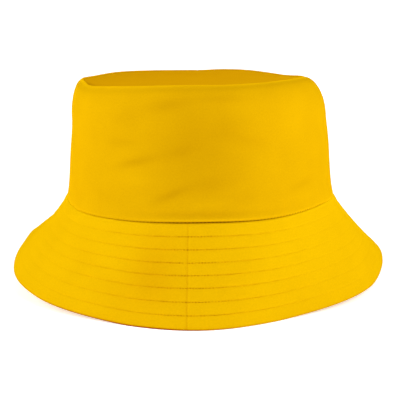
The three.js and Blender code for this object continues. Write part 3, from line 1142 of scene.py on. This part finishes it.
crown_cloth = cloth_material("waxed_cotton_crown", CROWN_COLOUR, 0.3)
tip_cloth = cloth_material("waxed_cotton_tip_shaded", TIP_SHADED_COLOUR, 0.3)
brim_cloth = cloth_material("waxed_cotton_brim_lit", BRIM_LIT_COLOUR, 0.55)
under_cloth = cloth_material("waxed_cotton_under", BRIM_LIT_COLOUR, 0.55)
thread = thread_material("yellow_thread", THREAD_COLOUR)
seam_thread = thread_material("seam_thread", CROWN_COLOUR)


def finish_piece(piece, slot, *nodes):
    """Ties a piece to the hat's body and hides the solids it stands in for. Its slot is not used."""
    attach(piece, "root")
    if nodes:
        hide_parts(*nodes)


def make_cloth():
    crown = ring_object("crown_side_cloth", *crown_side_faces(), crown_cloth)
    finish_piece(crown, "crown_cloth", "crown_side")
    tip = tip_object("crown_tip_cloth", tip_cloth)
    finish_piece(tip, "tip_cloth", "crown_tip")
    brim = ring_object("brim_top_cloth", *brim_top_faces(), brim_cloth)
    finish_piece(brim, "brim_cloth", "brim_top")
    under = ring_object("brim_under_cloth", *brim_under_faces(), under_cloth)
    finish_piece(under, "brim_under_cloth", "brim_under")


def make_threads():
    rows = [row_stitches(brim_row_surface(row)) for row in ROWS]
    finish_piece(joined_threads("brim_row_stitches", rows, THREAD_RADIUS, thread), "brim_cloth")
    rows = [row_stitches(brim_row_surface(row, under=True)) for row in ROWS]
    under = joined_threads("brim_row_stitches_under", rows, THREAD_RADIUS, thread)
    finish_piece(under, "brim_under_cloth")
    seam_row = stitches_on(
        crown_seam_surface,
        SEAM_STITCHES,
        SEAM_STITCH_LIFT,
        SEAM_THREAD_RADIUS,
        seam_shade,
        SEAM_STITCH_LENGTH,
    )
    seam = joined_threads("crown_seam_stitches", [seam_row], SEAM_THREAD_RADIUS, seam_thread)
    finish_piece(seam, "crown_cloth")


# Studio.
CAMERA_PLACE = (-0.35, -693.3, 195.05)
CAMERA_PITCH = math.radians(11.238)
CAMERA_ROLL = math.radians(1.233)
FOCAL_PIXELS = 978.3
PICTURE_PIXELS = 400
SKY_AT_HORIZON = 0.6
SKY_OVERHEAD = 0.2
FLOOR_GLOW = 0.53
FAR_FLOOR_GLOW = 0.75
LIGHT_DISTANCE = 1.8
LIGHT_SIZE = 0.9
LIGHT_AIM_HEIGHT = 0.07
# Each softbox's way round from the front, its height above the horizon in degrees, and its power in watts.
LIGHTS = [
    ("right_high", 45, 42, 15.2),
    ("right_side", 90, 25, 7),
    ("left_high", -45, 42, 3.4),
    ("left_side", -90, 25, 17),
    ("back", 180, 25, 5),
]


def make_camera():
    """A camera in front of the hat and a little above, pitched down and rolled slightly."""
    data = bpy.data.cameras.new("camera")
    data.sensor_width = 36
    data.lens = FOCAL_PIXELS / PICTURE_PIXELS * data.sensor_width
    made = bpy.data.objects.new("camera", data)
    bpy.context.scene.collection.objects.link(made)
    forward = Vector((0, math.cos(CAMERA_PITCH), -math.sin(CAMERA_PITCH)))
    level_up = Vector((0, math.sin(CAMERA_PITCH), math.cos(CAMERA_PITCH)))
    level_right = Vector((1, 0, 0))
    right = math.cos(CAMERA_ROLL) * level_right - math.sin(CAMERA_ROLL) * level_up
    up = math.sin(CAMERA_ROLL) * level_right + math.cos(CAMERA_ROLL) * level_up
    turned = Matrix((right, up, -forward)).transposed().to_4x4()
    turned.translation = (Vector(CAMERA_PLACE) + Vector((AXIS[0], AXIS[1], 0))) * MM
    made.matrix_world = turned
    data.clip_start, data.clip_end = 0.01, 100
    bpy.context.scene.camera = made


def glowing_white(name, glow):
    """Matt white that glows a little, as a lit white sweep does."""
    made = bpy.data.materials.new(name)
    made.use_nodes = True
    shader = made.node_tree.nodes["Principled BSDF"]
    shader.inputs["Base Color"].default_value = (0.8, 0.8, 0.8, 1)
    shader.inputs["Roughness"].default_value = 0.9
    shader.inputs["Emission Color"].default_value = (1, 1, 1, 1)
    shader.inputs["Emission Strength"].default_value = glow
    return made


def stage_object(name, corners, faces, material):
    """A flat piece of the studio, in metres."""
    mesh = bpy.data.meshes.new(name)
    mesh.from_pydata(corners, [], faces)
    mesh.materials.append(material)
    made = bpy.data.objects.new(name, mesh)
    bpy.context.scene.collection.objects.link(made)


def make_floor():
    """A pale floor, with a rim behind the lights that glows more to stay as white."""
    near, far = 1.4, 12
    inner = [(-near, -near, 0), (near, -near, 0), (near, near, 0), (-near, near, 0)]
    outer = [(-far, -far, 0), (far, -far, 0), (far, far, 0), (-far, far, 0)]
    stage_object("floor", inner, [(0, 1, 2, 3)], glowing_white("studio_floor", FLOOR_GLOW))
    sides = [(k, (k + 1) % 4, 4 + (k + 1) % 4, 4 + k) for k in range(4)]
    stage_object("far_floor", outer + inner, sides, glowing_white("studio_far_floor", FAR_FLOOR_GLOW))


def make_backdrop():
    """A white wall far behind the hat, so the picture has no horizon."""
    away, wide, tall = 8, 12, 5
    corners = [(-wide, away, 0), (wide, away, 0), (wide, away, tall), (-wide, away, tall)]
    stage_object("backdrop", corners, [(0, 1, 2, 3)], glowing_white("studio_backdrop", 1))


def make_light(name, azimuth, elevation, power):
    """A square softbox aimed at the hat."""
    data = bpy.data.lights.new(name, "AREA")
    data.shape = "SQUARE"
    data.size = LIGHT_SIZE
    data.energy = power
    made = bpy.data.objects.new(name, data)
    a, e = math.radians(azimuth), math.radians(elevation)
    back = Vector((math.sin(a) * math.cos(e), -math.cos(a) * math.cos(e), math.sin(e)))
    made.location = Vector((0, 0, LIGHT_AIM_HEIGHT)) + back * LIGHT_DISTANCE
    made.rotation_mode = "QUATERNION"
    made.rotation_quaternion = (-back).to_track_quat("-Z", "Y")
    bpy.context.scene.collection.objects.link(made)


def sky_range(tree, height, low, high, at_low, at_high):
    """A value that runs from at_low to at_high between two heights in the sky."""
    made = node(tree, "MapRange", Value=height, From_Min=low, From_Max=high, To_Min=at_low, To_Max=at_high)
    return made.outputs["Result"]


def make_world():
    """A white sky, dimmer overhead, with a full white band low down that meets the floor."""
    world = bpy.data.worlds.new("studio")
    bpy.context.scene.world = world
    world.use_nodes = True
    tree = world.node_tree
    direction = node(tree, "TexCoord")
    height = node(tree, "SeparateXYZ", Vector=direction.outputs["Generated"]).outputs["Z"]
    sky = sky_range(tree, height, 0.2, 0.9, SKY_AT_HORIZON, SKY_OVERHEAD)
    white_band = sky_range(tree, height, 0.07, 0.12, 1 - SKY_AT_HORIZON, 0)
    whole = math_node(tree, "ADD", sky, white_band)
    background = tree.nodes["Background"]
    background.inputs["Color"].default_value = (1, 1, 1, 1)
    tree.links.new(whole.outputs[0], background.inputs["Strength"])


def make_studio():
    bpy.context.scene.view_settings.view_transform = "Standard"
    make_world()
    for name, azimuth, elevation, power in LIGHTS:
        make_light(name, azimuth, elevation, power)


make_camera()
make_floor()
make_backdrop()
make_studio()
make_cloth()
make_threads()
